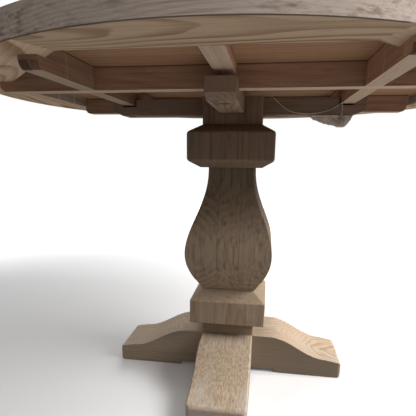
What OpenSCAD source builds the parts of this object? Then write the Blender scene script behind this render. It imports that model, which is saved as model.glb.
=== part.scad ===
// Round pedestal dining table with a built-up top.
// Millimetres, +Z up. The origin is on the floor, under the middle of the column.
// The top is a ring of eight mitred pieces round a recessed boarded panel. A grid of battens
// stiffens it, and two half-lapped bearers carry it on a square pedestal with crossed feet.

/* [Table top] */
// Height of the top surface above the floor
table_height = 780; // [740:1:800]
// Radius of the round top
top_radius = 600; // [590:1:640]
// Thickness of the ring pieces
ring_thickness = 40; // [36:1:46]
// Thickness of the panel boards
board_thickness = 16; // [14:1:18]
// Distance from the centre to the ring's four straight sides
straight_side = 485; // [475:1:500]
// Half length of those four straight sides
straight_half = 223; // [205:1:230]
// Number of boards across the panel
board_count = 7; // [5:1:9]

/* [Battens] */
// Width of a batten
batten_width = 32; // [24:1:40]
// Depth of a batten below the panel
batten_depth = 44; // [36:1:48]
// Distance from the centre to the front batten
front_batten_y = 251; // [230:1:270]
// Distance from the centre to the rear batten
rear_batten_y = 181; // [160:1:270]
// Half length of the front batten, and reach of the rear one to the right
long_batten_half = 472; // [462:1:490]
// Reach of the rear batten to the left of the centre
rear_batten_left = 490; // [462:1:495]
// Distance from the centre to the left and right battens
side_batten_x = 276; // [250:1:290]
// Reach of the left batten in front of the centre
left_batten_reach = 470; // [455:1:485]
// Reach of the right batten in front of the centre
right_batten_reach = 505; // [455:1:510]
// Radius of the rounded lower corner at a batten's end
batten_end_radius = 14; // [4:1:18]
// Width of the short centre battens
short_batten_width = 40; // [34:1:60]
// Offset of the short centre battens to the right
short_batten_x = 4; // [0:1:8]
// Depth of the short centre battens
short_batten_depth = 19; // [12:1:24]

/* [Bearers] */
// Width of a bearer
bearer_width = 60; // [50:1:70]
// Depth of a bearer
bearer_depth = 40; // [36:1:44]
// Half length of a bearer
bearer_half = 321; // [310:1:340]
// Depth of the batten that drops into a bearer
batten_drop = 14; // [10:1:18]
// Gap under the left and right battens in their notches
notch_gap = 4; // [1:1:5]

/* [Pedestal] */
// Half width of the neck block
neck_half = 73; // [66:1:80]
// Half width of the capital block
capital_half = 107; // [96:1:115]
// Half width of the capital's underside
capital_foot_half = 78; // [70:1:84]
// Height of the capital block
capital_height = 104; // [90:1:115]
// Half width of the vase at its top
vase_top_half = 59; // [54:1:66]
// Half width of the vase at its belly
vase_belly_half = 112; // [100:1:116]
// Half width of the vase at its base
vase_base_half = 70; // [64:1:76]
// Height of the vase
vase_height = 326; // [300:1:340]
// Height of the belly above the vase's base
belly_height = 106; // [90:1:120]
// Thickness of the inner boards that the vase is glued up from
vase_board = 58; // [50:1:64]
// Half width of the plinth block
plinth_half = 101; // [94:1:110]
// Height of the plinth block
plinth_height = 90; // [80:1:100]

/* [Feet] */
// Half width of the hub block, and half width of a foot beam
beam_half = 70; // [64:1:76]
// Reach of a foot from the centre
foot_reach = 315; // [300:1:330]
// Height of a foot beam at the hub
beam_height = 108; // [96:1:116]
// Height of a foot's end
foot_end_height = 44; // [36:1:50]
// Distance from the centre to the inner end of a foot pad
pad_start = 134; // [120:1:160]
// Height of the relief between the foot pads
relief = 10; // [6:1:14]

/* [Hidden] */
$fn = 48;
over = 1;                                    // how far a cutter runs past a face
root2 = sqrt(2);

ring_base = table_height - ring_thickness;
panel_base = table_height - board_thickness;
batten_base = panel_base - batten_depth;
bearer_top = batten_base + batten_drop;
bearer_base = bearer_top - bearer_depth;
neck_base = bearer_base - 25;
capital_base = neck_base - capital_height;
vase_base = capital_base - vase_height;
plinth_base = vase_base - plinth_height;
plinth_face_top = plinth_base + 65;
capital_face_base = capital_base + 17;
capital_face_top = capital_face_base + 68;

batten_lines = [-front_batten_y, rear_batten_y];
mitre_angle = atan2(straight_side, straight_half);
diagonal_side = (straight_side + straight_half) / root2;
board_width = 2 * straight_side / board_count;

tongue = 8;                                  // depth of the panel's tongues
tongue_thickness = 5.4;
groove_gap = 0.3;
groove_mid = table_height - 8;

spline_mid = ring_base + 14;                 // loose splines across the ring's mitres
spline_start = 546;
spline_length = 42;
spline_width = 40;
spline_thickness = 6;

rod_radius = 6;                              // threaded rod through the column
rod_bore = 6.5;
rod_bottom = 16;
washer_radius = 15;
washer_thickness = 2.5;
nut_radius = 10.4;
nut_height = 10;
rod_pocket_top = 32;
rod_pocket_radius = 17;

dowel_radius = 6;                            // dowels between the column's blocks
dowel_half = 18;
dowel_offset = 40;

pocket_radius = 12;                          // pockets for the coach screws in the bearers
pocket_depth = 12;
screw_radius = 4;
screw_reach = 46;
screw_washer_radius = 11;
screw_washer = 2;
screw_head_radius = 7.5;
screw_head = 5.5;

string_radius = 1;
// The tie string: up from the bag, past the batten, across the bearer and over its top.
string_route = [
    [264, -31.2, 693.7], [264, -31.2, 698], [264, -31.2, 705], [263.9, -31.2, 712],
    [263.4, -31.3, 717], [261.8, -31.4, 719.3], [259.2, -31.4, 718.6], [254.5, -31.4, 715.6],
    [247, -31.4, 711], [237, -31.4, 706], [221, -31.3, 701], [205, -31.3, 698.2],
    [190, -31.3, 697.2], [175, -31.3, 697.4], [160, -31.3, 698.2], [147, -31.3, 700.5],
    [135, -31.3, 705], [124, -31.3, 712], [114, -31.3, 720], [105, -31.4, 728],
    [101, -31.2, 732], [97, -29, 734.6], [93, -24.5, 735.3], [89, -19, 735.2], [85, -13, 735.2]
];

// Corner of the ring's eight-sided opening, moved out by d, in the first octant.
function opening_corner(d) = [(diagonal_side + d) * root2 - (straight_side + d), straight_side + d];

function opening_outline(d) = let (c = opening_corner(d)) [
    [c.x, -c.y], [c.y, -c.x], [c.y, c.x], [c.x, c.y],
    [-c.x, c.y], [-c.y, c.x], [-c.y, -c.x], [-c.x, -c.y]];

// Angles of the eight mitres, from the one at the right of the front piece.
function mitre(i) = let (side = floor(i / 2), turn = side * 90)
    i % 2 == 0 ? turn - mitre_angle : turn - 90 + mitre_angle;

// Half width of the vase at height z above its base: a cosine bulge below the belly,
// and a drawn-out cosine shoulder above it.
function vase_half(z) = z < belly_height
    ? vase_base_half + (vase_belly_half - vase_base_half) * cos(90 * (1 - z / belly_height))
    : let (t = pow((vase_height - z) / (vase_height - belly_height), 1.15))
      vase_top_half + (vase_belly_half - vase_top_half) * (1 - cos(180 * t)) / 2;

// Top edge of a foot beam: level at the hub, an ogee, then a gentle fall to the end.
ogee_start = 118;
ogee_end = 272;
ogee_low = 52;
function beam_top(x) = x < ogee_start ? beam_height
    : x < ogee_end
    ? (beam_height + ogee_low) / 2
      + (beam_height - ogee_low) / 2 * cos(180 * (x - ogee_start) / (ogee_end - ogee_start))
    : ogee_low - (ogee_low - foot_end_height) * (x - ogee_end) / (foot_reach - ogee_end);

module prism(outline, low, high) {
    translate([0, 0, low]) linear_extrude(high - low) polygon(outline);
}

module block(half_x, half_y, low, high) {
    translate([-half_x, -half_y, low]) cube([2 * half_x, 2 * half_y, high - low]);
}

module rod_hole(low, high) {
    translate([0, 0, low - over]) cylinder(r = rod_bore, h = high - low + 2 * over);
}

// A pair of dowels, or their holes, centred on a joint at height z.
module dowel_pair(z) {
    for (side = [-1, 1])
        translate([side * dowel_offset, side * dowel_offset, z - dowel_half])
            cylinder(r = dowel_radius, h = 2 * dowel_half);
}

// ---- Top: ring, splines and boards ----

module spline_box(i, gap) {
    rotate([0, 0, mitre(i)])
        translate([spline_start - gap, 0, spline_mid])
            translate([0, -spline_width / 2 - gap, -spline_thickness / 2 - gap])
                cube([spline_length + 2 * gap, spline_width + 2 * gap, spline_thickness + 2 * gap]);
}

module ring_piece(i) {
    a = mitre(i - 1);
    b = i == 8 ? mitre(0) + 360 : mitre(i);
    reach = top_radius * 1.3;
    color("tan") difference() {
        intersection() {
            translate([0, 0, ring_base]) cylinder(r = top_radius, h = ring_thickness, $fn = 160);
            prism([[0, 0], reach * [cos(a), sin(a)], reach * [cos(b), sin(b)]],
                  ring_base - over, table_height + over);
        }
        prism(opening_outline(0), ring_base - over, table_height + over);
        prism(opening_outline(tongue + groove_gap),
              groove_mid - tongue_thickness / 2 - groove_gap,
              groove_mid + tongue_thickness / 2 + groove_gap);
        spline_box(i - 1, 0.1);
        spline_box(i % 8, 0.1);
    }
}

module ring_splines() {
    color("peru") for (i = [0:7]) spline_box(i, 0);
}

module strip(low_y, high_y, low, high) {
    translate([-straight_side - 2 * tongue, low_y, low])
        cube([2 * straight_side + 4 * tongue, high_y - low_y, high - low]);
}

module panel_board(i) {
    low_y = -straight_side + (i - 1) * board_width;
    high_y = low_y + board_width;
    outer_low = i == 1 ? low_y - tongue : low_y;
    low = groove_mid - tongue_thickness / 2;
    high = groove_mid + tongue_thickness / 2;
    color("burlywood") difference() {
        union() {
            intersection() {
                prism(opening_outline(0), panel_base, table_height);
                strip(low_y, high_y, panel_base, table_height);
            }
            intersection() {
                prism(opening_outline(tongue), low, high);
                strip(outer_low, high_y + tongue, low, high);
            }
        }
        if (i > 1) strip(low_y - over, low_y + tongue + groove_gap, low - groove_gap, high + groove_gap);
    }
}

// ---- Battens ----

// A bar along X from low to high, with rounded lower ends.
module batten_bar(low, high, width) {
    r = batten_end_radius;
    translate([0, width / 2, 0]) rotate([90, 0, 0]) linear_extrude(width)
        translate([0, batten_base]) difference() {
            translate([low, 0]) square([high - low, batten_depth]);
            for (end = [[low, 1], [high, -1]]) translate([end.x, 0]) difference() {
                square(2 * r, center = true);
                translate([end.y * r, r]) circle(r);
            }
        }
}

// Above the ring's underside a batten stops at the ring.
module clear_of_ring() {
    difference() {
        children();
        difference() {
            block(top_radius, top_radius, ring_base, table_height);
            prism(opening_outline(0), ring_base - over, table_height + over);
        }
    }
}

module long_batten(y) {
    half_depth = panel_base - batten_depth / 2;
    color("sienna") difference() {
        clear_of_ring() translate([0, y, 0])
            batten_bar(y > 0 ? -rear_batten_left : -long_batten_half, long_batten_half, batten_width);
        for (x = [-side_batten_x, side_batten_x]) translate([x, y, 0])
            block(batten_width / 2, batten_width, half_depth, panel_base + over);
        coach_screw_holes();
    }
}

// A left or right batten runs on past the front batten and ends flush with the rear one.
module side_batten(side) {
    half_depth = panel_base - batten_depth / 2;
    color("sienna") difference() {
        clear_of_ring() translate([side * side_batten_x, 0, 0]) rotate([0, 0, 90])
            batten_bar(side < 0 ? -left_batten_reach : -right_batten_reach,
                       rear_batten_y + batten_width / 2, batten_width);
        for (y = batten_lines)
            translate([side * side_batten_x - batten_width, y - batten_width / 2, batten_base - over])
                cube([2 * batten_width, batten_width + (y > 0 ? over : 0),
                      half_depth - batten_base + over]);
        coach_screw_holes();
    }
}

module short_batten(side) {
    inner = (side < 0 ? front_batten_y : rear_batten_y) + batten_width / 2;
    length = straight_side - inner;
    color("sienna") translate([short_batten_x, side * (inner + length / 2), 0])
        block(short_batten_width / 2, length / 2, panel_base - short_batten_depth, panel_base);
}

// ---- Bearers ----

// A bearer along X: chamfered at the ends underneath, pocketed for a screw at each given place.
module bearer_bar(screws) {
    run = 26;
    rise = 11;
    difference() {
        translate([0, bearer_width / 2, 0]) rotate([90, 0, 0]) linear_extrude(bearer_width)
            polygon([[-bearer_half + run, bearer_base], [bearer_half - run, bearer_base],
                     [bearer_half, bearer_base + rise], [bearer_half, bearer_top],
                     [-bearer_half, bearer_top], [-bearer_half, bearer_base + rise]]);
        for (x = screws) translate([x, 0, bearer_base - over]) {
            cylinder(r = pocket_radius, h = pocket_depth + over);
            cylinder(r = screw_radius, h = bearer_depth + 2 * over);
        }
        rod_hole(bearer_base, bearer_top);
    }
}

module bearer_long() {
    low = batten_base - notch_gap;
    inner = side_batten_x - batten_width / 2 - 3;
    outer = side_batten_x + batten_width / 2;
    color("saddlebrown") difference() {
        bearer_bar([-side_batten_x, side_batten_x]);
        for (side = [-1, 1]) translate([side * (inner + outer) / 2, 0, 0])
            block((outer - inner) / 2, bearer_width, low, bearer_top + over);
        block(bearer_width / 2, bearer_width, bearer_top - bearer_depth / 2, bearer_top + over);
    }
}

module bearer_cross() {
    color("saddlebrown") difference() {
        rotate([0, 0, 90]) bearer_bar(batten_lines);
        for (y = batten_lines) translate([0, y, 0])
            block(bearer_width, batten_width / 2, batten_base, bearer_top + over);
        block(bearer_width, bearer_width / 2, bearer_base - over, bearer_top - bearer_depth / 2);
    }
}

// ---- Column ----

// The lower part of the neck block closes under the bearers; its corners stand up round them.
module neck_block() {
    color("saddlebrown") difference() {
        block(neck_half, neck_half, neck_base, bearer_top);
        block(neck_half + over, bearer_width / 2, bearer_base, bearer_top + over);
        block(bearer_width / 2, neck_half + over, bearer_base, bearer_top + over);
        rod_hole(neck_base, bearer_top);
        dowel_pair(neck_base);
    }
}

// A square block whose outline is given as [half width, height] points.
module square_block(points) {
    outline = concat(points, [for (i = [len(points) - 1:-1:0]) [-points[i].x, points[i].y]]);
    intersection() {
        translate([0, capital_half * 2, 0]) rotate([90, 0, 0])
            linear_extrude(capital_half * 4) polygon(outline);
        translate([-capital_half * 2, 0, 0]) rotate([90, 0, 90])
            linear_extrude(capital_half * 4) polygon(outline);
    }
}

module capital_block() {
    color("saddlebrown") difference() {
        square_block([[capital_foot_half, capital_base], [capital_half, capital_face_base],
                      [capital_half, capital_face_top], [neck_half, neck_base]]);
        rod_hole(capital_base, neck_base);
        dowel_pair(neck_base);
        dowel_pair(capital_base);
    }
}

module vase() {
    steps = 36;
    difference() {
        square_block([for (i = [0:steps]) let (z = vase_height * i / steps)
                      [vase_half(z), vase_base + z]]);
        rod_hole(vase_base, capital_base);
        dowel_pair(capital_base);
        dowel_pair(vase_base);
    }
}

// The vase is glued up from three inner boards and a thin outer one on each side.
module vase_board_piece(i) {
    edges = [-vase_belly_half - over, -vase_board * 1.5, -vase_board / 2,
             vase_board / 2, vase_board * 1.5, vase_belly_half + over];
    color("rosybrown") intersection() {
        vase();
        translate([edges[i - 1], -vase_belly_half - over, vase_base])
            cube([edges[i] - edges[i - 1], 2 * (vase_belly_half + over), vase_height]);
    }
}

module plinth_block() {
    color("tan") difference() {
        square_block([[plinth_half, plinth_base], [plinth_half, plinth_face_top],
                      [vase_base_half, vase_base]]);
        rod_hole(plinth_base, vase_base);
        dowel_pair(vase_base);
        dowel_pair(plinth_base);
    }
}

module hub_block() {
    color("tan") difference() {
        block(beam_half, beam_half, beam_height, plinth_base);
        rod_hole(beam_height, plinth_base);
        dowel_pair(plinth_base);
        dowel_pair(beam_height);
    }
}

// ---- Feet ----

// One foot beam along X, with a pad under each end.
module foot_beam() {
    steps = 20;
    side = [for (i = [0:steps]) let (x = ogee_start + (ogee_end - ogee_start) * i / steps)
            [x, beam_top(x)]];
    half = concat([[pad_start, relief], [pad_start, 0], [foot_reach, 0], [foot_reach, foot_end_height]],
                  [for (i = [steps:-1:0]) side[i]]);
    outline = concat(half, [for (i = [len(half) - 1:-1:0]) [-half[i].x, half[i].y]]);
    translate([0, beam_half, 0]) rotate([90, 0, 0]) linear_extrude(2 * beam_half) polygon(outline);
}

module foot_beam_long() {
    color("tan") difference() {
        foot_beam();
        block(beam_half, beam_half + over, beam_height / 2, beam_height + over);
        rod_hole(0, beam_height);
        translate([0, 0, relief - over]) cylinder(r = rod_pocket_radius, h = rod_pocket_top - relief + over);
    }
}

module foot_beam_cross() {
    color("tan") difference() {
        rotate([0, 0, 90]) foot_beam();
        block(beam_half + over, beam_half, -over, beam_height / 2);
        rod_hole(0, beam_height);
        dowel_pair(beam_height);
    }
}

// ---- Fixings ----

module column_dowels() {
    color("wheat") for (z = [beam_height, plinth_base, vase_base, capital_base, neck_base]) dowel_pair(z);
}

rod_top = bearer_top + washer_thickness + nut_height + 2;

module tie_rod() {
    color("silver") translate([0, 0, rod_bottom]) cylinder(r = rod_radius, h = rod_top - rod_bottom);
}

module ring_of(outer, inner, height) {
    difference() {
        cylinder(r = outer, h = height);
        translate([0, 0, -over]) cylinder(r = inner, h = height + 2 * over);
    }
}

module tie_rod_nuts() {
    color("silver") for (z = [rod_pocket_top - washer_thickness - nut_height, bearer_top + washer_thickness])
        translate([0, 0, z]) difference() {
            cylinder(r = nut_radius, h = nut_height, $fn = 6);
            translate([0, 0, -over]) cylinder(r = rod_radius, h = nut_height + 2 * over);
        }
}

module tie_rod_washers() {
    color("silver") for (z = [rod_pocket_top - washer_thickness, bearer_top])
        translate([0, 0, z]) ring_of(washer_radius, rod_bore, washer_thickness);
}

screw_places = [[side_batten_x, 0], [-side_batten_x, 0], [0, rear_batten_y], [0, -front_batten_y]];
pocket_top = bearer_base + pocket_depth;

module coach_screw_holes() {
    for (p = screw_places) translate([p.x, p.y, batten_base - over])
        cylinder(r = screw_radius, h = pocket_top + screw_reach - batten_base + over);
}

module coach_screws() {
    color("dimgray") for (p = screw_places) translate([p.x, p.y, pocket_top - screw_washer]) {
        translate([0, 0, -screw_head]) cylinder(r = screw_head_radius, h = screw_head, $fn = 6);
        cylinder(r = screw_radius, h = screw_reach + screw_washer);
    }
}

module coach_screw_washers() {
    color("silver") for (p = screw_places) translate([p.x, p.y, pocket_top - screw_washer])
        ring_of(screw_washer_radius, screw_radius + 0.3, screw_washer);
}

// ---- Bag of spare fittings, tied up under the long bearer ----

module fittings_bag() {
    color("lightgray") translate([0, 22, 0]) rotate([90, 0, 0]) linear_extrude(56)
        polygon([[190, 693.7], [294, 693.7], [288, 680], [273, 666], [254, 669], [220, 680]]);
}

function ring_at(points, i, sides, radius) =
    let (last = len(points) - 1,
         a = points[max(i - 1, 0)], b = points[min(i + 1, last)],
         run = (b - a) / norm(b - a),
         across = let (n = cross(run, [0.2, 0.9, 0.3])) n / norm(n),
         up = cross(run, across))
    [for (k = [0:sides - 1]) let (turn = 360 * k / sides)
        points[i] + radius * (cos(turn) * across + sin(turn) * up)];

module tube(points, radius, sides) {
    n = len(points);
    polyhedron(
        points = [for (i = [0:n - 1]) each ring_at(points, i, sides, radius)],
        faces = concat(
            [[for (k = [0:sides - 1]) k]],
            [[for (k = [sides - 1:-1:0]) (n - 1) * sides + k]],
            [for (i = [0:n - 2]) for (k = [0:sides - 1]) let (m = (k + 1) % sides)
                each [[i * sides + k, (i + 1) * sides + k, i * sides + m],
                      [i * sides + m, (i + 1) * sides + k, (i + 1) * sides + m]]]));
}

module bag_string() {
    color("ivory") tube(string_route, string_radius, 8);
}

// ---- Drawing ----

for (i = [1:8]) ring_piece(i);
for (i = [1:board_count]) panel_board(i);
long_batten(-front_batten_y);  // batten_front
long_batten(rear_batten_y);  // batten_rear
side_batten(-1);  // batten_left
side_batten(1);  // batten_right
short_batten(-1);  // short_batten_front
short_batten(1);  // short_batten_rear
bearer_long();
bearer_cross();
neck_block();
capital_block();
for (i = [1:5]) vase_board_piece(i);
plinth_block();
hub_block();
foot_beam_long();
foot_beam_cross();
ring_splines();
column_dowels();
tie_rod();
tie_rod_nuts();
tie_rod_washers();
coach_screws();
coach_screw_washers();
fittings_bag();
bag_string();
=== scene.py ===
import math
import bmesh
import bpy
from mathutils import Matrix, Vector, noise


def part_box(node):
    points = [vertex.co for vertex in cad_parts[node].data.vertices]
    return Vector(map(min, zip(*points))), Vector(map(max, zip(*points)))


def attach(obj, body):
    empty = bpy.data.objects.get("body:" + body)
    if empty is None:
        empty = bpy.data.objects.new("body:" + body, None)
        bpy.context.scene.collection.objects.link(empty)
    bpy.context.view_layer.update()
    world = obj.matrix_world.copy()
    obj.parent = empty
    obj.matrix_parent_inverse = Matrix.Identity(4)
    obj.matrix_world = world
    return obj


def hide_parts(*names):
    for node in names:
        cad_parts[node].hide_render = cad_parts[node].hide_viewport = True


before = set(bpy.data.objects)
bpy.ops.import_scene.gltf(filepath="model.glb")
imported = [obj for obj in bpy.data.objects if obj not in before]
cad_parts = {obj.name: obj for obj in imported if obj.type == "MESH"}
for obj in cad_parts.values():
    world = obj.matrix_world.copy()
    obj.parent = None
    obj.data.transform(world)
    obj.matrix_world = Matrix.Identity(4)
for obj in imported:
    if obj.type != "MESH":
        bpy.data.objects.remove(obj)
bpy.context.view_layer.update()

scene = bpy.context.scene

# The camera stands low at the front and a little right of the column, looking slightly down,
# so that the under-frame, the column and the feet all show below the edge of the top.
lens_per_width, film_width, rise = 0.915865, 36, 0.101
camera_place = (0.0898, -1.0505, 0.5952)
camera_data = bpy.data.cameras.new("camera")
camera_data.sensor_width = film_width
camera_data.lens = film_width * lens_per_width
camera_data.shift_y = rise
camera = bpy.data.objects.new("camera", camera_data)
scene.collection.objects.link(camera)
turn, tilt, lean = math.radians(8.5), math.radians(90 - 14), math.radians(0.56)
camera.matrix_world = (Matrix.Translation(camera_place) @ Matrix.Rotation(turn, 4, "Z")
                       @ Matrix.Rotation(tilt, 4, "X") @ Matrix.Rotation(lean, 4, "Z"))
scene.camera = camera


# ---- The string of the fittings bag ----
# Thin twisted cotton. It comes up out of a knot in the bag's hem, turns beside the right batten,
# sags across the face of the long bearer and lies over the bearer's top edge.
string_radius, knot_loop, knot_strand = 0.001, 0.0013, 0.0008
string_route = [
    (264, -31.2, 693.7), (264, -31.2, 698), (264, -31.2, 705), (263.9, -31.2, 712),
    (263.4, -31.3, 717), (261.8, -31.4, 719.3), (259.2, -31.4, 718.6), (254.5, -31.4, 715.6),
    (247, -31.4, 711), (237, -31.4, 706), (221, -31.3, 701), (205, -31.3, 698.2),
    (190, -31.3, 697.2), (175, -31.3, 697.4), (160, -31.3, 698.2), (147, -31.3, 700.5),
    (135, -31.3, 705), (124, -31.3, 712), (114, -31.3, 720), (105, -31.4, 728),
    (101, -31.2, 732), (97, -29, 734.6), (93, -24.5, 735.3), (89, -19, 735.2), (85, -13, 735.2)]


class Wire:
    """A socket in a node tree. Arithmetic on wires adds Math nodes."""

    def __init__(self, tree, socket=None):
        self.tree = tree
        self.socket = socket

    def make(self, kind, settings=None, values=None, out=0):
        """Adds a node: its settings first, then its sockets' values or links."""
        node = self.tree.nodes.new(kind if kind.startswith("GeometryNode") else "ShaderNode" + kind)
        for name, value in (settings or {}).items():
            setattr(node, name, value)
        for name, value in (values or {}).items():
            if isinstance(value, Wire):
                self.tree.links.new(value.socket, node.inputs[name])
            else:
                node.inputs[name].default_value = value
        return Wire(self.tree, node.outputs[out])

    def maths(self, operation, *others):
        return self.make("Math", {"operation": operation}, dict(enumerate((self, *others))))

    def __add__(self, other):
        return self.maths("ADD", other)

    def __mul__(self, other):
        return self.maths("MULTIPLY", other)

    def __sub__(self, other):
        return self.maths("SUBTRACT", other)

    def __rsub__(self, other):
        return self.make("Math", {"operation": "SUBTRACT"}, {0: other, 1: self})

    def __truediv__(self, other):
        return self.maths("DIVIDE", other)

    __radd__ = __add__
    __rmul__ = __mul__

    def between(self, low, high):
        """0 below low, 1 above high, smooth between."""
        return self.make("MapRange", {"interpolation_type": "SMOOTHSTEP"}, {0: self, 1: low, 2: high})

    def mixed(self, first, second):
        """The first colour where this wire is 0, the second where it is 1."""
        return self.make("Mix", {"data_type": "RGBA"}, {0: self, 6: first, 7: second}, out=2)

    def scaled(self, factors):
        """A vector wire times three factors."""
        return self.make("VectorMath", {"operation": "MULTIPLY"}, {0: self, 1: factors})

    def moved(self, offset):
        """A vector wire plus three numbers or another vector wire."""
        return self.make("VectorMath", {"operation": "ADD"}, {0: self, 1: offset})

    def length(self):
        return self.make("VectorMath", {"operation": "LENGTH"}, {0: self}, out=1)


def new_material(name):
    """A material with an empty Principled surface. Returns it, its tree's wire and the surface."""
    material = bpy.data.materials.new(name)
    material.use_nodes = True
    surface = material.node_tree.nodes["Principled BSDF"]
    return material, Wire(material.node_tree), surface


def cotton(name, colour, thread, crease=0.0):
    """Plain cotton: fine threads with paler crowns, dull and slightly furry, with painted shade in its
    creases.
    """
    material, start, surface = new_material(name)
    place = start.make("TexCoord", out=3)
    fibre = start.make("TexNoise", {}, {"Vector": place, "Scale": 1 / thread, "Detail": 3.0})
    patch = start.make("TexNoise", {}, {"Vector": place, "Scale": 60.0, "Detail": 3.0})
    deep = start.make("Attribute", {"attribute_name": "crease"}, out=2)
    hem = start.make("Attribute", {"attribute_name": "hem"}, out=2)
    shade = tuple(c * 0.62 for c in colour)
    tint = fibre.between(0.3, 0.7) * 0.45 + patch.between(0.3, 0.7) * 0.55
    cloth = tint.mixed((*shade, 1), (*colour, 1))
    # Painted shade: the cloth darkens in its creases.
    cloth = (deep * crease).mixed(cloth, (*(c * 0.3 for c in colour), 1))
    cloth = (hem * 0.7).mixed(cloth, (*(min(1.0, c * 1.5) for c in colour), 1))
    links = start.tree.links
    links.new(cloth.socket, surface.inputs["Base Color"])
    bump = start.make("Bump", {}, {"Height": fibre, "Strength": 0.5, "Distance": thread / 3})
    links.new(bump.socket, surface.inputs["Normal"])
    surface.inputs["Roughness"].default_value = 0.92
    surface.inputs["Sheen Weight"].default_value = 0.15
    return material


def new_piece(name, mesh, material):
    """An object at the origin for a finished mesh, riding on the one body."""
    piece = bpy.data.objects.new(name, mesh)
    scene.collection.objects.link(piece)
    mesh.materials.clear()
    mesh.materials.append(material)
    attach(piece, "root")
    return piece


def sweep(name, route, radius, sides, twist=0.0):
    """A closed tube along a route, with a slight lobed section like two laid strands."""
    bm = bmesh.new()
    rings = []
    for i, point in enumerate(route):
        along = (route[min(i + 1, len(route) - 1)] - route[max(i - 1, 0)]).normalized()
        across = along.cross(Vector((0.2, 0.9, 0.3))).normalized()
        up = along.cross(across)
        ring = []
        for k in range(sides):
            angle = 2 * math.pi * k / sides
            size = radius * (0.86 + 0.14 * math.cos(2 * angle + twist * i))
            ring.append(bm.verts.new(point + size * (math.cos(angle) * across + math.sin(angle) * up)))
        rings.append(ring)
    for a, b in zip(rings, rings[1:]):
        for k in range(sides):
            bm.faces.new((a[k], b[k], b[(k + 1) % sides], a[(k + 1) % sides]))
    bm.faces.new(rings[0])
    bm.faces.new(reversed(rings[-1]))
    bmesh.ops.recalc_face_normals(bm, faces=bm.faces)
    for face in bm.faces:
        face.smooth = len(face.verts) == 4
    mesh = bpy.data.meshes.new(name)
    bm.to_mesh(mesh)
    bm.free()
    return mesh


def rounded_route(points, steps):
    """More points along the same route, on a Catmull-Rom curve through the given ones."""
    out = []
    for i in range(len(points) - 1):
        a, b = points[max(i - 1, 0)], points[i]
        c, d = points[i + 1], points[min(i + 2, len(points) - 1)]
        for k in range(steps):
            t = k / steps
            out.append(0.5 * (2 * b + (c - a) * t + (2 * a - 5 * b + 4 * c - d) * t * t
                              + (3 * b - a - 3 * c + d) * t ** 3))
    return out + [points[-1]]


def knot_route(centre, size, turns, steps):
    """The closed run of an overhand knot pulled tight, as a small flattened trefoil."""
    route = []
    for k in range(steps + 1):
        t = 2 * math.pi * k / steps
        reach = size * (1 + 0.45 * math.cos(turns * t))
        route.append(centre + Vector((reach * math.cos(2 * t), 0.5 * size * math.sin(turns * t),
                                      reach * math.sin(2 * t))))
    return route


string_points = rounded_route([Vector(p) / 1000 for p in string_route], 6)
string_length = sum((b - a).length for a, b in zip(string_points, string_points[1:]))
string_cotton = cotton("twisted cotton", (0.86, 0.75, 0.62), 0.0006)
bag_string = new_piece("string", sweep("string", string_points, string_radius, 10, 0.9),
                       string_cotton)
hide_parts("bag_string")
knot_mesh = sweep("string-knot", knot_route(string_points[0], knot_loop, 3, 72), knot_strand, 8)
string_knot = new_piece("string-knot", knot_mesh, string_cotton)


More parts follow.
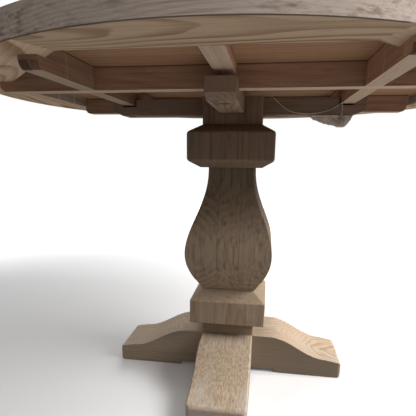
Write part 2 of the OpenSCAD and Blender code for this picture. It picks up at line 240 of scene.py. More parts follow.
# ---- Feet ----
# Two crossed beams of solid elm, half-lapped at the middle and sawn to an ogee, so that the growth
# rings show as contours on the slopes. The arrises are rubbed round, the ends most of all.
def wood(name, grain, seed, pale, dark, wash, ring=0.007, pith=(0.0, 0.0), taper=0.02, figure=0.55,
         streak=0.33, grainy=0.22, washed=0.5, quiet=0.0, raw=None, shaded=None, painted_side_shade=None,
         blocks=None, knots=()):
    """Solid timber. The growth rings are warped cylinders about a pith beside the piece.

    grain is "up", or the angle in plan of a level piece's grain. pith is where the rings' centre
    lies: x and y for upright grain, height and distance across the grain for level grain. The late
    part of each ring is dark, bold streaks, pores and fibres run with the grain, and a grey wash
    lies over it in patches. quiet is how much plainer the side faces are. raw gives the pale and dark
    colours of unwashed lower faces. shaded gives two heights and how far painted shade darkens the
    colour at the second, and the argument after it paints shade the same way along X on the side
    faces. blocks gives the start and pitch of the glue lines between short lengths. knots are places
    along, across and in height. Mesh attributes mark the faces: worn arrises, which also carry a
    painted highlight, dark seams and painted shade, under faces, side faces and end grain."""
    material, start, surface = new_material(name)
    place = start.make("TexCoord", out=3)
    if grain == "up":
        level, centre = place, (-pith[0], -pith[1], 0.0)
    else:
        level = start.make("Mapping", {}, {"Vector": place, "Rotation": (0, 0, -math.radians(grain))})
        level = start.make("Mapping", {}, {"Vector": level, "Rotation": (0, -math.pi / 2, 0)})
        centre = (pith[0], -pith[1], 0.0)
    own = level.moved((0.31 * seed, 0.17 * seed, 0.73 * seed))

    def streaks(width, length, detail, roughness=0.5):
        stretched = own.scaled((1 / width, 1 / width, 1 / length))
        return start.make("TexNoise", {}, {"Vector": stretched, "Scale": 1.0, "Detail": detail,
                                           "Roughness": roughness})

    drift = start.make("TexNoise", {}, {"Vector": own.scaled((6.0, 6.0, 1.3)), "Scale": 1.0,
                                        "Detail": 2.0}, out=1)
    drift = drift.moved((-0.5, -0.5, -0.5)).scaled((0.07, 0.07, 0.0))
    radius = level.moved(centre).scaled((1.0, 1.0, 0.0)).moved(drift).length()
    along = start.make("SeparateXYZ", {}, {0: level}, out=2)
    count = (radius + along * taper) * (1 / ring) + streaks(0.05, 0.9, 1.0) * 1.4
    core = None
    for knot in knots:
        spread = level.moved((knot[2], -knot[1], -knot[0])).scaled((1.0, 1.0, 0.55)).length()
        swell = 1 - spread.between(0.0, 0.075)
        count = count + swell * swell * 3.0
        heart = 1 - spread.between(0.002, 0.009)
        core = heart if core is None else core + heart
    part = count.maths("FRACT")
    late = part.between(0.3, 0.9) * (1 - part.between(0.93, 1.0))
    late = late * (0.3 + 0.7 * streaks(0.09, 0.5, 1.0).between(0.3, 0.7))
    side = start.make("Attribute", {"attribute_name": "side"}, out=2)
    late = late * (1 - side * quiet)

    bold = streaks(0.009, 0.34, 3.0, 0.6).between(0.48, 0.68)
    coarse = streaks(0.0035, 0.30, 2.0, 0.5).between(0.35, 0.7)
    fine = streaks(0.0013, 0.12, 1.0, 0.5).between(0.3, 0.7)
    pores = streaks(0.0013, 0.045, 1.0).between(0.62, 0.72) * (1 - late)
    patch = streaks(0.07, 0.22, 3.0, 0.55).between(0.38, 0.68)

    deepest, painted_shade_dark = (tuple(c * share for c in dark) for share in (0.45, 0.3))
    ends = start.make("Attribute", {"attribute_name": "end"}, out=2)
    figured = (late * figure + bold * streak + coarse * grainy) * (1 - ends * 0.6)
    figured = figured + fine * (grainy * 0.55) + ends * 0.1
    colour = figured.mixed((*pale, 1), (*dark, 1))
    colour = (patch * washed).mixed(colour, (*wash, 1))
    if raw:
        under = start.make("Attribute", {"attribute_name": "under"}, out=2)
        bare = (late * 0.85 + coarse * 0.2 + fine * 0.1).mixed((*raw[0], 1), (*raw[1], 1))
        colour = under.mixed(colour, bare)
    if core is not None:
        colour = (core * 0.75).mixed(colour, (*deepest, 1))
    colour = (pores * 0.3).mixed(colour, (*deepest, 1))
    # Rubbed arrises are paler: wear, and a painted highlight along the rounded edges.
    worn_and_highlit = start.make("Attribute", {"attribute_name": "worn_and_highlit"}, out=2)
    rub_and_highlight = worn_and_highlit * streaks(0.006, 0.03, 2.0).between(0.35, 0.65)
    colour = (rub_and_highlight * 0.45).mixed(colour, (*(min(1.0, c * 1.25) for c in pale), 1))
    seam = start.make("Attribute", {"attribute_name": "dark_seam_and_painted_shade"}, out=2)
    colour = (seam * 0.85).mixed(colour, (*deepest, 1))
    # Painted shade: the colour darkens between two heights.
    if shaded:
        height = start.make("SeparateXYZ", {}, {0: place}, out=2)
        shade = height.between(shaded[0], shaded[1]) * shaded[2]
        colour = shade.mixed(colour, (*painted_shade_dark, 1))
    # Painted shade: the side faces darken along X.
    if painted_side_shade:
        sideways = start.make("SeparateXYZ", {}, {0: place}, out=0)
        dark_seam_and_painted_shade = sideways.between(painted_side_shade[0], painted_side_shade[1]) * side * painted_side_shade[2]
        colour = dark_seam_and_painted_shade.mixed(colour, (*painted_shade_dark, 1))
    if blocks:
        first, pitch = blocks
        half_line = 0.0009 / pitch
        phase = ((along - first) * (1 / pitch) + 0.5).maths("FRACT") - 0.5
        line = 1 - phase.maths("ABSOLUTE").between(half_line * 0.6, half_line * 1.4)
        colour = (line * side * 0.75).mixed(colour, (*(min(1.0, c * 1.7) for c in pale), 1))
    links = start.tree.links
    links.new(colour.socket, surface.inputs["Base Color"])
    roughness = 0.72 + late * -0.08 + pores * 0.12 + patch * 0.08
    links.new(roughness.socket, surface.inputs["Roughness"])
    relief = late * 0.5 + bold * 0.2 + coarse * 0.3 + fine * 0.12 - pores * 0.5
    bump = start.make("Bump", {}, {"Height": relief, "Strength": 0.25, "Distance": 0.0006})
    links.new(bump.socket, surface.inputs["Normal"])
    surface.inputs["Specular IOR Level"].default_value = 0.3
    return material


def eased(node, grain, fine, broad=0.0, is_broad=None, shortest=0.005, mark_dark=False):
    """A merged copy of a CAD node's mesh with its outer arrises rounded.

    Arrises for which is_broad says yes get the broad radius, and all others the fine one. Face
    attributes say which faces are rubbed arrises with a painted highlight, face down, face sideways
    or show end grain."""
    arris_turn = math.radians(34)
    lengthways = Vector((0, 0, 1))
    if grain != "up":
        lengthways = Vector((math.cos(math.radians(grain)), math.sin(math.radians(grain)), 0))
    bm = bmesh.new()
    bm.from_mesh(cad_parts[node].data)
    bmesh.ops.remove_doubles(bm, verts=bm.verts, dist=1e-5)
    bmesh.ops.dissolve_limit(bm, angle_limit=math.radians(0.5), verts=bm.verts, edges=bm.edges)
    worn_and_highlit, dark_seam_and_painted_shade = bm.faces.layers.float.new("worn_and_highlit"), bm.faces.layers.float.new("dark_seam_and_painted_shade")
    under, side = bm.faces.layers.float.new("under"), bm.faces.layers.float.new("side")
    end = bm.faces.layers.float.new("end")

    def round_over(width, segments, mark, test):
        edges = [e for e in bm.edges if len(e.link_faces) == 2 and e.is_convex
                 and e.calc_face_angle() > arris_turn and e.calc_length() > shortest and test(e)]
        if edges:
            made = bmesh.ops.bevel(bm, geom=edges, offset=width, offset_type="OFFSET",
                                   segments=segments, profile=0.5, affect="EDGES", clamp_overlap=True)
            for face in made["faces"]:
                face[mark] = 1.0

    if is_broad:
        round_over(broad, 4, dark_seam_and_painted_shade if mark_dark else worn_and_highlit, is_broad)
    round_over(fine, 2, worn_and_highlit, lambda e: True)
    bm.normal_update()
    for face in bm.faces:
        face.smooth = True
        face[under] = 1.0 if face.normal.z < -0.95 else 0.0
        face[side] = 1.0 if abs(face.normal.z) < 0.1 else 0.0
        face[end] = min(1.0, max(0.0, abs(face.normal.dot(lengthways)) * 2 - 0.9))
    mesh = bpy.data.meshes.new(node)
    bm.to_mesh(mesh)
    bm.free()
    return mesh


def wooden_piece(name, node, mesh, material):
    """A finished timber piece that stands for its CAD node, with flat faces kept flat."""
    piece = new_piece(name, mesh, material)
    steady = piece.modifiers.new("flat faces stay flat", "WEIGHTED_NORMAL")
    steady.weight = 80
    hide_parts(node)
    return piece


foot_pale, foot_dark, foot_wash = (0.52, 0.395, 0.275), (0.27, 0.18, 0.105), (0.46, 0.40, 0.34)


def foot_end_arris(axis, reach):
    """Picks the arrises all round each end of a foot beam."""
    return lambda e: all(abs(abs(v.co[axis]) - reach) < 0.001 for v in e.verts)


for name, axis, grain, tones in (("foot_beam_long", 0, 0, (0.98, 0.97, 0.96)),
                                 ("foot_beam_cross", 1, 90, (1.10, 1.14, 1.20))):
    shades = [tuple(c * t for c, t in zip(shade, tones)) for shade in (foot_pale, foot_dark, foot_wash)]
    # The long beam's side faces carry painted shade, darker over the right half.
    timber = wood(name.replace("_", " ") + " elm", grain, 3 + axis, *shades,
                  ring=0.0058, pith=(-0.05, 0.015), taper=0.03, figure=0.8 - 0.6 * axis, streak=0.2,
                  grainy=0.2 + 0.4 * axis, washed=0.5 + 0.15 * axis, quiet=0.6,
                  painted_side_shade=None if axis else (-0.05, 0.10, 0.5))
    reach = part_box(name)[1][axis]
    mesh = eased(name, grain, 0.004, 0.009, foot_end_arris(axis, reach), shortest=0.0015)
    wooden_piece(name.replace("_", "-"), name, mesh, timber)


# ---- Hub block and plinth ----
# Two square blocks. The hub stands on the crossed feet, and the plinth over it has a wide chamfer
# up to the foot of the vase. Both are end-jointed with dowels and clamped by the tie rod.
column_pale, column_dark, column_wash = (0.47, 0.355, 0.245), (0.225, 0.15, 0.09), (0.37, 0.30, 0.23)

column_shades = (column_pale, column_dark, column_wash)
# Painted shade: the hub is darker towards its top, under the plinth.
hub_elm = wood("hub elm", 0, 7, *column_shades, pith=(-0.08, 0.03), streak=0.45, shaded=(0.10, 0.15, 0.30))
wooden_piece("hub-block", "hub_block", eased("hub_block", 0, 0.0015), hub_elm)
plinth_elm = wood("plinth elm", "up", 8, *column_shades, ring=0.009, pith=(0.03, 0.10), taper=0.04,
                  figure=0.4, streak=0.5)
plinth_mesh = eased("plinth_block", "up", 0.003)
wooden_piece("plinth-block", "plinth_block", plinth_mesh, plinth_elm)


# ---- Vase ----
# The square baluster is glued up from three thick boards and a thin one on each side, then sawn to
# the same curve on all four faces. The glue lines show as fine dark seams up the front.
def new_rule(name, *numbers):
    """An empty geometry-nodes tree. Returns a starting wire and a wire for each named input."""
    tree = bpy.data.node_groups.new(name, "GeometryNodeTree")
    tree.interface.new_socket("Geometry", in_out="INPUT", socket_type="NodeSocketGeometry")
    tree.interface.new_socket("Geometry", in_out="OUTPUT", socket_type="NodeSocketGeometry")
    for label in numbers:
        tree.interface.new_socket(label, in_out="INPUT", socket_type="NodeSocketFloat")
    tree.interface.new_socket("Finish", in_out="INPUT", socket_type="NodeSocketMaterial")
    given = tree.nodes.new("NodeGroupInput")
    labels = ("Geometry", *numbers, "Finish")
    return Wire(tree), {label: Wire(tree, given.outputs[label]) for label in labels}


def end_rule(start, shape, finish):
    """Makes the shape real, gives it its material and leads it out of the tree."""
    real = start.make("GeometryNodeRealizeInstances", {}, {"Geometry": shape})
    painted = start.make("GeometryNodeSetMaterial", {}, {"Geometry": real, "Material": finish})
    result = start.tree.nodes.new("NodeGroupOutput")
    start.tree.links.new(painted.socket, result.inputs[0])
    return start.tree


def grown(name, tree, values, points=()):
    """Runs a geometry-nodes tree on some points and returns the plain mesh that it makes."""
    holder_mesh = bpy.data.meshes.new(name + " points")
    holder_mesh.from_pydata([tuple(p) for p in points], [], [])
    holder = bpy.data.objects.new(name + " points", holder_mesh)
    scene.collection.objects.link(holder)
    maker = holder.modifiers.new("rule", "NODES")
    maker.node_group = tree
    for item in tree.interface.items_tree:
        if item.in_out == "INPUT" and item.name in values:
            maker[item.identifier] = values[item.name]
    graph = bpy.context.evaluated_depsgraph_get()
    mesh = bpy.data.meshes.new_from_object(holder.evaluated_get(graph))
    holder.modifiers.remove(maker)
    bpy.data.objects.remove(holder)
    mesh.name = name
    return mesh


def vase_rule():
    """One board of the vase, between two x values, sawn to the vase's curve on all four faces."""
    start, asked = new_rule("vase board", "Low X", "High X", "Low Z", "High Z", "Base", "Height",
                            "Belly height", "Base half", "Belly half", "Top half", "Shoulder draw")
    cube = start.make("GeometryNodeMeshCube", {}, {"Vertices X": 5, "Vertices Y": 13, "Vertices Z": 61})
    split = start.make("SeparateXYZ", {}, {0: start.make("GeometryNodeInputPosition")}).socket.node
    across, deep, up = (Wire(start.tree, socket) for socket in split.outputs)
    z = asked["Low Z"] + (up + 0.5) * (asked["High Z"] - asked["Low Z"])
    low_turn = (1 - z / asked["Belly height"]) * (math.pi / 2)
    below = asked["Base half"] + low_turn.maths("COSINE") * (asked["Belly half"] - asked["Base half"])
    share = (asked["Height"] - z) / (asked["Height"] - asked["Belly height"])
    swell = 0.5 - (share.maths("POWER", asked["Shoulder draw"]) * math.pi).maths("COSINE") * 0.5
    above = asked["Top half"] + swell * (asked["Belly half"] - asked["Top half"])
    is_below = z.maths("LESS_THAN", asked["Belly height"])
    half = is_below * below + (1 - is_below) * above
    low_side = asked["Low X"].maths("MAXIMUM", half * -1.0)
    high_side = asked["High X"].maths("MINIMUM", half)
    x = low_side + (across + 0.5) * (high_side - low_side)
    on_face = deep.maths("ABSOLUTE").maths("GREATER_THAN", 0.4999)
    on_side = x.maths("ABSOLUTE").maths("GREATER_THAN", half - 0.0002)
    marked = start.make("GeometryNodeStoreNamedAttribute", {"data_type": "FLOAT", "domain": "POINT"},
                        {"Geometry": cube, "Name": "arris", "Value": on_face * on_side})
    place = start.make("CombineXYZ", {}, {0: x, 1: half * deep * 2.0, 2: asked["Base"] + z})
    moved = start.make("GeometryNodeSetPosition", {}, {"Geometry": marked, "Position": place})
    return end_rule(start, moved, asked["Finish"])


vase_tree = vase_rule()
vase_low, vase_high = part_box("vase_board_3")
vase_sizes = {"Base": vase_low.z, "Height": vase_high.z - vase_low.z, "Belly height": 0.106,
              "Base half": 0.070, "Belly half": vase_high.y, "Top half": 0.059, "Shoulder draw": 1.15}
arris_radius, seam_radius, thin_tip = 0.0035, 0.0003, 0.0012
vase_piths = ((0.12, 0.02), (0.02, 0.16), (-0.05, 0.19), (0.05, 0.13), (-0.02, 0.2))

for i in range(1, 6):
    low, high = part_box(f"vase_board_{i}")
    # Painted shade: each board is darker towards the top, under the table top.
    timber = wood(f"vase elm {i}", "up", 10 + i, *column_shades, ring=0.008, pith=vase_piths[i - 1],
                  taper=0.04, figure=0.6, streak=0.6, washed=0.35, shaded=(0.36, 0.50, 0.57))
    tip = thin_tip if i in (1, 5) else 0.0
    mesh = grown(f"vase board {i}", vase_tree, {
        "Low X": low.x, "High X": high.x, "Low Z": low.z - vase_low.z + tip,
        "High Z": high.z - vase_low.z - tip, "Finish": timber, **vase_sizes})
    bm = bmesh.new()
    bm.from_mesh(mesh)
    bmesh.ops.remove_doubles(bm, verts=bm.verts, dist=1e-6)
    arris = bm.verts.layers.float["arris"]
    for attribute, is_corner, width, segments in (("worn_and_highlit", True, arris_radius, 3),
                                                  ("dark_seam_and_painted_shade", False, seam_radius, 1)):
        mark = bm.faces.layers.float.new(attribute)
        edges = [e for e in bm.edges if len(e.link_faces) == 2 and e.calc_face_angle() > 0.9
                 and all(v[arris] > 0.5 for v in e.verts) == is_corner]
        made = bmesh.ops.bevel(bm, geom=edges, offset=width, offset_type="OFFSET",
                               segments=segments, profile=0.5, affect="EDGES", clamp_overlap=True)
        for face in made["faces"]:
            face[mark] = 1.0
    for face in bm.faces:
        face.smooth = True
    bm.to_mesh(mesh)
    bm.free()
    mesh.attributes.remove(mesh.attributes["arris"])
    wooden_piece(f"vase-board-{i}", f"vase_board_{i}", mesh, timber)


# ---- Capital and neck ----
# The capital is a square elm block chamfered above and below. The neck block above it is slotted
# both ways for the bearers. Both stand in the shade of the top, and their colours are painted darker
# as painted shade.
# Elm tones painted darker, as painted shade under the top, for the capital, the neck and the bearers.
painted_shade_tones = ((0.30, 0.205, 0.14), (0.145, 0.095, 0.064), (0.24, 0.185, 0.145))
capital_elm = wood("capital elm", "up", 21, *painted_shade_tones, ring=0.010, pith=(0.04, 0.12), figure=0.4,
                   streak=0.6)
capital_mesh = eased("capital_block", "up", 0.0045)
wooden_piece("capital-block", "capital_block", capital_mesh, capital_elm)
neck_elm = wood("neck elm", "up", 22, *painted_shade_tones, pith=(0.05, 0.17), streak=0.5)
wooden_piece("neck-block", "neck_block", eased("neck_block", "up", 0.0018), neck_elm)


# ---- Bearers ----
# Two sawn elm bars, half-lapped where they cross in the neck block and chamfered underneath at
# their ends. Coach screws go up through them into the battens.
bearer_raw = ((0.42, 0.30, 0.21), (0.22, 0.145, 0.095))
# The bearers use the same darkened tones: painted shade under the top.
for name, grain, seed, tone in (("bearer_long", 0, 25, 1.05), ("bearer_cross", 90, 26, 1.2)):
    shades = [tuple(c * tone for c in shade) for shade in painted_shade_tones]
    timber = wood(name.replace("_", " ") + " elm", grain, seed, *shades, ring=0.006, pith=(0.62, 0.02),
                  raw=bearer_raw, streak=0.5)
    wooden_piece(name.replace("_", "-"), name, eased(name, grain, 0.0015), timber)


# ---- Battens ----
# Planed softwood on edge, cross-halved into a grid and notched under the ring. The left and right
# ones are glued up from short lengths, whose pale glue lines show on their faces.
batten_shades = ((0.46, 0.275, 0.18), (0.25, 0.13, 0.078), (0.38, 0.255, 0.185))
batten_raw = ((0.64, 0.49, 0.37), (0.42, 0.29, 0.20))
block_lines = (-0.381, 0.096)
for name, grain, seed, tone, raw_tone in (
        ("batten_front", 0, 31, 1.05, 1.3), ("batten_rear", 0, 32, 1.0, 1.2),
        ("batten_left", 90, 33, 0.82, 0.9), ("batten_right", 90, 34, 1.35, 1.1),
        ("short_batten_front", 90, 35, 1.4, 1.08), ("short_batten_rear", 90, 36, 1.0, 1.1)):
    shades = [tuple(c * tone for c in shade) for shade in batten_shades]
    bare = [tuple(c * raw_tone for c in shade) for shade in batten_raw]
    # Painted shadow: a thin dark line runs along the top of the sides, where each batten meets the panel.
    timber = wood(name.replace("_", " ") + " pine", grain, seed, *shades, ring=0.0065, pith=(0.66, 0.0),
                  figure=0.35, streak=0.45, washed=0.3, raw=bare, shaded=(0.7605, 0.7635, 0.85),
                  blocks=block_lines if name in ("batten_left", "batten_right") else None)
    wooden_piece(name.replace("_", "-"), name, eased(name, grain, 0.0012), timber)


# ---- Panel boards ----
# Parallel pine boards, tongued into each other and into the ring. They are washed grey on top like
# the ring, and left raw underneath.
panel_shades = ((0.60, 0.46, 0.36), (0.28, 0.19, 0.14), (0.54, 0.45, 0.385))
panel_raw = ((0.48, 0.285, 0.16), (0.27, 0.13, 0.06))
for i in range(1, 8):
    low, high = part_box(f"panel_board_{i}")
    middle = (low.y + high.y) / 2
    timber = wood(f"panel pine {i}", 0, 40 + i, *panel_shades, ring=0.0075,
                  pith=(0.82, middle + 0.02 * (i % 3 - 1)), taper=0.035, figure=0.6, streak=0.4,
                  washed=0.5, raw=panel_raw)
    mesh = eased(f"panel_board_{i}", 0, 0.0006)
    wooden_piece(f"panel-board-{i}", f"panel_board_{i}", mesh, timber)


# ---- Ring ----
# Eight thick elm pieces, mitred and splined, with the grain along each one. The rim and the top are
# washed grey, the underside is left raw, and the lower arris is darker. The inward faces, in the
# recess under the top, carry painted shade.
ring_shades = ((0.72, 0.58, 0.48), (0.27, 0.19, 0.15), (0.62, 0.54, 0.475))
ring_raw = ((0.69, 0.52, 0.36), (0.30, 0.165, 0.08))
ring_middle = 0.54
rear_piece, rear_knot = 4, (0.0, -0.55, 0.74)
left_piece, left_blocks = 6, (0.004, 0.087)
rim_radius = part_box("ring_piece_2")[1].x
ring_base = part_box("ring_piece_2")[0].z


def lower_rim_arris(e):
    """Picks the ring's lower outer arris."""
    return all(v.co.xy.length > rim_radius - 0.001 and v.co.z < ring_base + 0.001 for v in e.verts)


for i in range(1, 9):
    node = f"ring_piece_{i}"
    low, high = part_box(node)
    centre = (low + high) / 2
    outward = round(math.degrees(math.atan2(centre.y, centre.x)) / 45) * 45
    # Painted light: the undersides of the left and front-left pieces are painted lighter.
    raw_tone = 1.25 if outward in (-135, 180) else 0.98
    bare = [tuple(c * raw_tone for c in shade) for shade in ring_raw]
    timber = wood(f"ring elm {i}", outward + 90, 60 + i, *ring_shades, ring=0.0062,
                  pith=(0.86, -ring_middle), taper=0.03, figure=0.5, streak=0.7, washed=0.55, raw=bare,
                  blocks=left_blocks if i == left_piece else None,
                  knots=(rear_knot,) if i == rear_piece else ())
    mesh = eased(node, outward + 90, 0.0005, 0.0013, lower_rim_arris, shortest=0.004, mark_dark=True)
    # Painted shade: the inward faces, in the recess under the top, get half the dark mark.
    for face in mesh.polygons:
        if face.normal.xy.dot(face.center.xy) < -0.2 and abs(face.normal.z) < 0.3:
            mesh.attributes["dark_seam_and_painted_shade"].data[face.index].value = 0.5
    wooden_piece(f"ring-piece-{i}", node, mesh, timber)


# ---- Fixings ----
# Zinc-plated steel: a threaded rod down the column with a washer and a nut at each end, and four
# coach screws up through the bearers. Beech splines and dowels are glued into the wood.
def steel(name, colour, rough):
    """Dull zinc plate with a faint spangle."""
    material, start, surface = new_material(name)
    place = start.make("TexCoord", out=3)
    spangle = start.make("TexNoise", {}, {"Vector": place, "Scale": 400.0, "Detail": 2.0})
    shade = tuple(c * 0.75 for c in colour)
    tint = spangle.between(0.3, 0.7).mixed((*shade, 1), (*colour, 1))
    links = start.tree.links
    links.new(tint.socket, surface.inputs["Base Color"])
    links.new((rough + spangle * 0.2).socket, surface.inputs["Roughness"])
    surface.inputs["Metallic"].default_value = 1.0
    return material


def at_height(start, shape, height):
    """The shape lifted to a height."""
    offset = start.make("CombineXYZ", {}, {2: height})
    return start.make("GeometryNodeTransform", {}, {"Geometry": shape, "Translation": offset})


def combined(start, *shapes):
    """Several shapes as one."""
    join = start.tree.nodes.new("GeometryNodeJoinGeometry")
    for shape in shapes:
        start.tree.links.new(shape.socket, join.inputs[0])
    return Wire(start.tree, join.outputs[0])


def bar(start, sides, radius, low, high):
    """A round or six-sided bar between two heights."""
    shape = start.make("GeometryNodeMeshCylinder", {}, {"Vertices": sides, "Radius": radius,
                                                        "Depth": high - low})
    return at_height(start, shape, (low + high) * 0.5)


def screw_thread(start, radius, depth, pitch, low, high):
    """A stem with a helical ridge between two heights."""
    turns, height = (high - low) / pitch, high - low
    path = start.make("GeometryNodeCurveSpiral", {}, {
        "Resolution": 16, "Rotations": turns, "Height": height, "Start Radius": radius - depth * 0.6,
        "End Radius": radius - depth * 0.6})
    profile = start.make("GeometryNodeCurvePrimitiveCircle", {}, {"Resolution": 4, "Radius": depth * 0.6})
    ridge = start.make("GeometryNodeCurveToMesh", {}, {"Curve": path, "Profile Curve": profile,
                                                       "Fill Caps": True})
    return combined(start, bar(start, 24, radius - depth * 0.7, low, high), at_height(start, ridge, low))


def on_points(start, points, shape):
    """The shape once at each point."""
    return start.make("GeometryNodeInstanceOnPoints", {}, {"Points": points, "Instance": shape})


def coach_screw_rule():
    """A hexagon head standing on each point, then a plain neck, then a threaded shank."""
    start, asked = new_rule("coach screw", "Head radius", "Head", "Shank radius", "Reach", "Pitch")
    plain_neck = 0.012
    zero = asked["Head"] * 0.0
    head = bar(start, 6, asked["Head radius"], zero, asked["Head"])
    neck_end = asked["Head"] + plain_neck
    neck = bar(start, 24, asked["Shank radius"], asked["Head"], neck_end)
    shank = screw_thread(start, asked["Shank radius"] - 0.0001, zero + 0.0009, asked["Pitch"], neck_end,
                         asked["Reach"] - 0.001)
    one = combined(start, head, neck, shank)
    return end_rule(start, on_points(start, asked["Geometry"], one), asked["Finish"])


def ring_rule(name, sides):
    """A washer or a nut at each point: a plate with a hole."""
    start, asked = new_rule(name, "Radius", "Bore", "Thickness")
    past = 0.001
    zero = asked["Radius"] * 0.0
    plate = bar(start, sides, asked["Radius"], zero, asked["Thickness"])
    drill = bar(start, 24, asked["Bore"], zero - past, asked["Thickness"] + past)
    one = start.make("GeometryNodeMeshBoolean", {"operation": "DIFFERENCE"}, {0: plate, 1: drill})
    return end_rule(start, on_points(start, asked["Geometry"], one), asked["Finish"])


def rod_rule():
    """A rod threaded all along, standing on each point."""
    start, asked = new_rule("threaded rod", "Radius", "Length", "Pitch")
    zero = asked["Radius"] * 0.0
    one = screw_thread(start, asked["Radius"] - 0.0001, zero + 0.0010, asked["Pitch"], zero,
                       asked["Length"])
    return end_rule(start, on_points(start, asked["Geometry"], one), asked["Finish"])


def fixing(node, tree, values, points):
    """A fixing grown on points, standing for its CAD node."""
    mesh = grown(node.replace("_", " "), tree, {**values, "Finish": zinc}, points)
    piece = new_piece(node.replace("_", "-"), mesh, zinc)
    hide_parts(node)


zinc = steel("dull zinc", (0.42, 0.41, 0.39), 0.4)
washer_tree, nut_tree = ring_rule("washer", 32), ring_rule("nut", 6)

head_low, thread_high = (corner.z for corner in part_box("coach_screws"))
side_x = (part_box("batten_right")[0].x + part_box("batten_right")[1].x) / 2
rear_y = (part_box("batten_rear")[0].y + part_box("batten_rear")[1].y) / 2
front_y = (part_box("batten_front")[0].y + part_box("batten_front")[1].y) / 2
screw_spots = ((side_x, 0), (-side_x, 0), (0, rear_y), (0, front_y))
fixing("coach_screws", coach_screw_rule(),
       {"Head radius": 0.0074, "Head": 0.0055, "Shank radius": 0.004, "Reach": thread_high - head_low,
        "Pitch": 0.0028},
       [(x, y, head_low) for x, y in screw_spots])
plate_low, plate_high = (corner.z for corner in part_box("coach_screw_washers"))
fixing("coach_screw_washers", washer_tree,
       {"Radius": 0.011, "Bore": 0.0043, "Thickness": plate_high - plate_low},
       [(x, y, plate_low) for x, y in screw_spots])

rod_low, rod_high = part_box("tie_rod")
fixing("tie_rod", rod_rule(),
       {"Radius": rod_high.x, "Length": rod_high.z - rod_low.z, "Pitch": 0.00175}, [(0, 0, rod_low.z)])
for node, tree, radius, bore, thickness in (("tie_rod_nuts", nut_tree, 0.0103, 0.0061, 0.010),
                                            ("tie_rod_washers", washer_tree, 0.015, 0.0065, 0.0025)):
    low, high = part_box(node)
    fixing(node, tree, {"Radius": radius, "Bore": bore, "Thickness": thickness},
           [(0, 0, low.z), (0, 0, high.z - thickness)])

beech = wood("beech dowel", "up", 80, (0.55, 0.40, 0.26), (0.42, 0.29, 0.18), (0.5, 0.38, 0.26))
for node in ("ring_splines", "column_dowels"):
    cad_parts[node].data.materials.clear()
    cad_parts[node].data.materials.append(beech)


# ---- Bag of spare fittings ----
# A slack cotton pouch, rolled shut and tied under the end of the long bearer. Its cloth gathers
# towards the heavy low end, and its hem runs along the top, where the string is knotted.
def bag_shell(low, high, long, round_count):
    """A closed shell lofted along X inside the bag's box, deepest near its right end."""
    outline = ((0.0, 0.02), (0.29, 0.47), (0.62, 0.80), (0.80, 1.0), (0.94, 0.42), (1.0, 0.03))
    size, end_room = high - low, 0.002
    bm = bmesh.new()
    rings = []
    for i in range(long + 1):
        share = i / long
        for (a, deep_a), (b, deep_b) in zip(outline, outline[1:]):
            if a <= share <= b:
                step = (share - a) / (b - a)
                deep = deep_a + (deep_b - deep_a) * step
        ring = []
        for k in range(round_count):
            turn = 2 * math.pi * k / round_count
            wide, fall = math.cos(turn), math.sin(turn)
            bulge = (0.40 + 0.08 * math.sin(math.pi * share)) * size.y
            hang = max(fall, 0.0) ** 0.75 * deep * size.z * 0.93
            x = low.x + end_room + share * (size.x - 2 * end_room)
            y = (low.y + high.y) / 2 + math.copysign(abs(wide) ** 0.7, wide) * bulge
            ring.append(bm.verts.new((x, y, high.z - 0.0008 - hang - max(-fall, 0.0) * 0.0006)))
        rings.append(ring)
    for a, b in zip(rings, rings[1:]):
        for k in range(round_count):
            bm.faces.new((a[k], a[(k + 1) % round_count], b[(k + 1) % round_count], b[k]))
    bm.faces.new(rings[0])
    bm.faces.new(reversed(rings[-1]))
    bmesh.ops.recalc_face_normals(bm, faces=bm.faces)
    mesh = bpy.data.meshes.new("fittings bag")
    bm.to_mesh(mesh)
    bm.free()
    return mesh


def slackened(mesh, pinned, frames, pressure, growth, cap):
    """The mesh after a short cloth simulation: pinned points stay, and no point moves past the cap."""
    holder = bpy.data.objects.new("cloth holder", mesh)
    scene.collection.objects.link(holder)
    held = holder.vertex_groups.new(name="held")
    held.add([v.index for v in mesh.vertices if pinned(v.co)], 1.0, "REPLACE")
    cloth = holder.modifiers.new("cloth", "CLOTH")
    cloth.settings.quality = 6
    cloth.settings.mass = 0.15
    cloth.settings.tension_stiffness = 8
    cloth.settings.compression_stiffness = 8
    cloth.settings.bending_stiffness = 0.05
    cloth.settings.use_pressure = True
    cloth.settings.uniform_pressure_force = pressure
    cloth.settings.shrink_min = -growth
    cloth.settings.vertex_group_mass = "held"
    cloth.point_cache.frame_start, cloth.point_cache.frame_end = 1, frames
    for step in range(1, frames + 1):
        scene.frame_set(step)
    graph = bpy.context.evaluated_depsgraph_get()
    moved = [v.co.copy() for v in holder.evaluated_get(graph).data.vertices]
    for v, new in zip(mesh.vertices, moved):
        shift = new - v.co
        v.co += shift * min(1.0, cap / max(shift.length, 1e-9))
    scene.frame_set(1)
    bpy.data.objects.remove(holder)


bag_low, bag_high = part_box("fittings_bag")
bag_mesh = bag_shell(bag_low, bag_high, 64, 56)
slackened(bag_mesh, lambda p: p.z > bag_high.z - 0.0016, 16, 0.3, 0.05, 0.004)

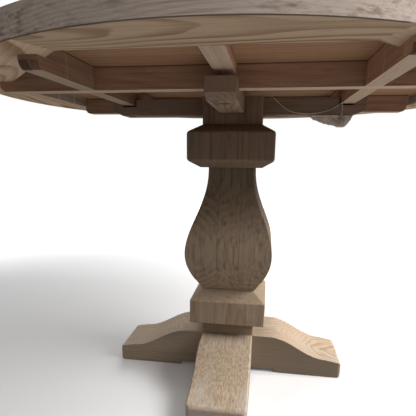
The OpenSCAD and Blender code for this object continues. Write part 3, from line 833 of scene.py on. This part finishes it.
tied_end, tuck = Vector((0.271, -0.030, 0.662)), Vector((0.262, 0.688))
fold_depth, wrinkle, tuck_depth, hem_swell = 0.0021, 0.0010, 0.0055, 0.0010
bag_mesh.update()
bag_normals = [v.normal.copy() for v in bag_mesh.vertices]
folds, hem_height = [], bag_high.z - 0.0022
for v, normal in zip(bag_mesh.vertices, bag_normals):
    away = v.co - tied_end
    angle = math.atan2(away.x, away.z)
    wander = noise.noise(v.co * 55) * 1.6
    fold = (math.sin(angle * 9 + wander * 2) + 0.6 * math.sin(angle * 19 + wander * 3 + 1.0)) / 1.6
    fold = -abs(fold) ** 1.3 + 0.35
    hollow = math.exp(-((v.co.xz - tuck).length / 0.0065) ** 2) if v.co.y < 0 else 0.0
    hem = math.exp(-((v.co.z - hem_height) / 0.0011) ** 2) if v.co.y < -0.02 and v.co.x < 0.266 else 0.0
    loose = min(1.0, max(0.0, (bag_high.z - 0.001 - v.co.z) / 0.006))
    # The crease mark, deepest in the folds and the tuck hollow, carries painted shade.
    folds.append((max(0.0, -fold) * loose + hollow, hem))
    v.co += normal * (fold * fold_depth * loose + noise.noise(v.co * 160) * wrinkle * loose
                      - hollow * tuck_depth + hem * hem_swell)
    for axis in range(3):
        v.co[axis] = min(max(v.co[axis], bag_low[axis] + 0.0004), bag_high[axis] - 0.0003)
for name, values in zip(("crease", "hem"), zip(*folds)):
    marks = bag_mesh.attributes.new(name, "FLOAT", "POINT")
    for mark, value in zip(marks.data, values):
        mark.value = min(1.0, value)
for face in bag_mesh.polygons:
    face.use_smooth = True
bag_cotton = cotton("unbleached cotton", (0.62, 0.54, 0.465), 0.0011, 0.75)
bag = new_piece("fittings-bag", bag_mesh, bag_cotton)
finer = bag.modifiers.new("finer cloth", "SUBSURF")
finer.levels = finer.render_levels = 1
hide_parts("fittings_bag")


# ---- Floor and light ----
# A white floor that runs back to a white surround, glowing as painted light away from the table. One
# large soft light stands at the right and a weaker one behind, so the top shades the upper column and
# the feet throw a shadow to the left.
floor_mesh = bpy.data.meshes.new("floor")
floor_reach = 30
corners = [(x * floor_reach, y * floor_reach, 0) for x, y in ((-1, -1), (1, -1), (1, 1), (-1, 1))]
floor_mesh.from_pydata(corners, [], [(0, 1, 2, 3)])
floor = bpy.data.objects.new("floor", floor_mesh)
scene.collection.objects.link(floor)
floor_paint, floor_start, floor_surface = new_material("pale floor")
floor_surface.inputs["Base Color"].default_value = (0.76, 0.76, 0.76, 1)
floor_surface.inputs["Roughness"].default_value = 0.9
floor_surface.inputs["Specular IOR Level"].default_value = 0.0
floor_surface.inputs["Emission Color"].default_value = (1, 1, 1, 1)
# Painted light: the floor glows faintly near the table and fully from 3 m out.
glow = 0.05 + floor_start.make("TexCoord", out=3).length().between(1.2, 3.0) * 0.95
floor_start.tree.links.new(glow.socket, floor_surface.inputs["Emission Strength"])
seen = floor_start.make("LightPath", out=0)
bounce = floor_start.make("BsdfDiffuse", {}, {"Color": (0.31, 0.30, 0.29, 1)})
paint = Wire(floor_start.tree, floor_surface.outputs[0])
joined = floor_start.make("MixShader", {}, {0: seen, 1: bounce, 2: paint})
floor_start.tree.links.new(joined.socket, floor_start.tree.nodes["Material Output"].inputs["Surface"])
floor_mesh.materials.append(floor_paint)

world = bpy.data.worlds.new("studio")
scene.world = world
world.use_nodes = True
surround = Wire(world.node_tree)
background = world.node_tree.nodes["Background"]
background.inputs["Color"].default_value = (1, 1, 1, 1)
strength = surround.make("LightPath", out=0) * 0.9 + 0.1
world.node_tree.links.new(strength.socket, background.inputs["Strength"])
scene.view_settings.view_transform = "Standard"


def soft_light(name, place, aim, size, power):
    """A large square studio light."""
    data = bpy.data.lights.new(name, "AREA")
    data.shape = "SQUARE"
    data.size = size
    data.energy = power
    lamp = bpy.data.objects.new(name, data)
    scene.collection.objects.link(lamp)
    lamp.location = place
    lamp.rotation_euler = (Vector(aim) - Vector(place)).to_track_quat("-Z", "Y").to_euler()
    lamp.visible_camera = False
    return lamp


soft_light("key", (2.75, -0.3, 2.5), (0, 0, 0.3), 2.0, 205)
soft_light("back", (-0.4, 3.0, 1.9), (0, 0, 0.3), 2.4, 82)
soft_light("side", (-2.4, 0.9, 1.0), (0, 0, 0.2), 1.2, 8)
soft_light("fill", (0.6, -2.4, 2.4), (0, 0, 0.5), 2.5, 14)
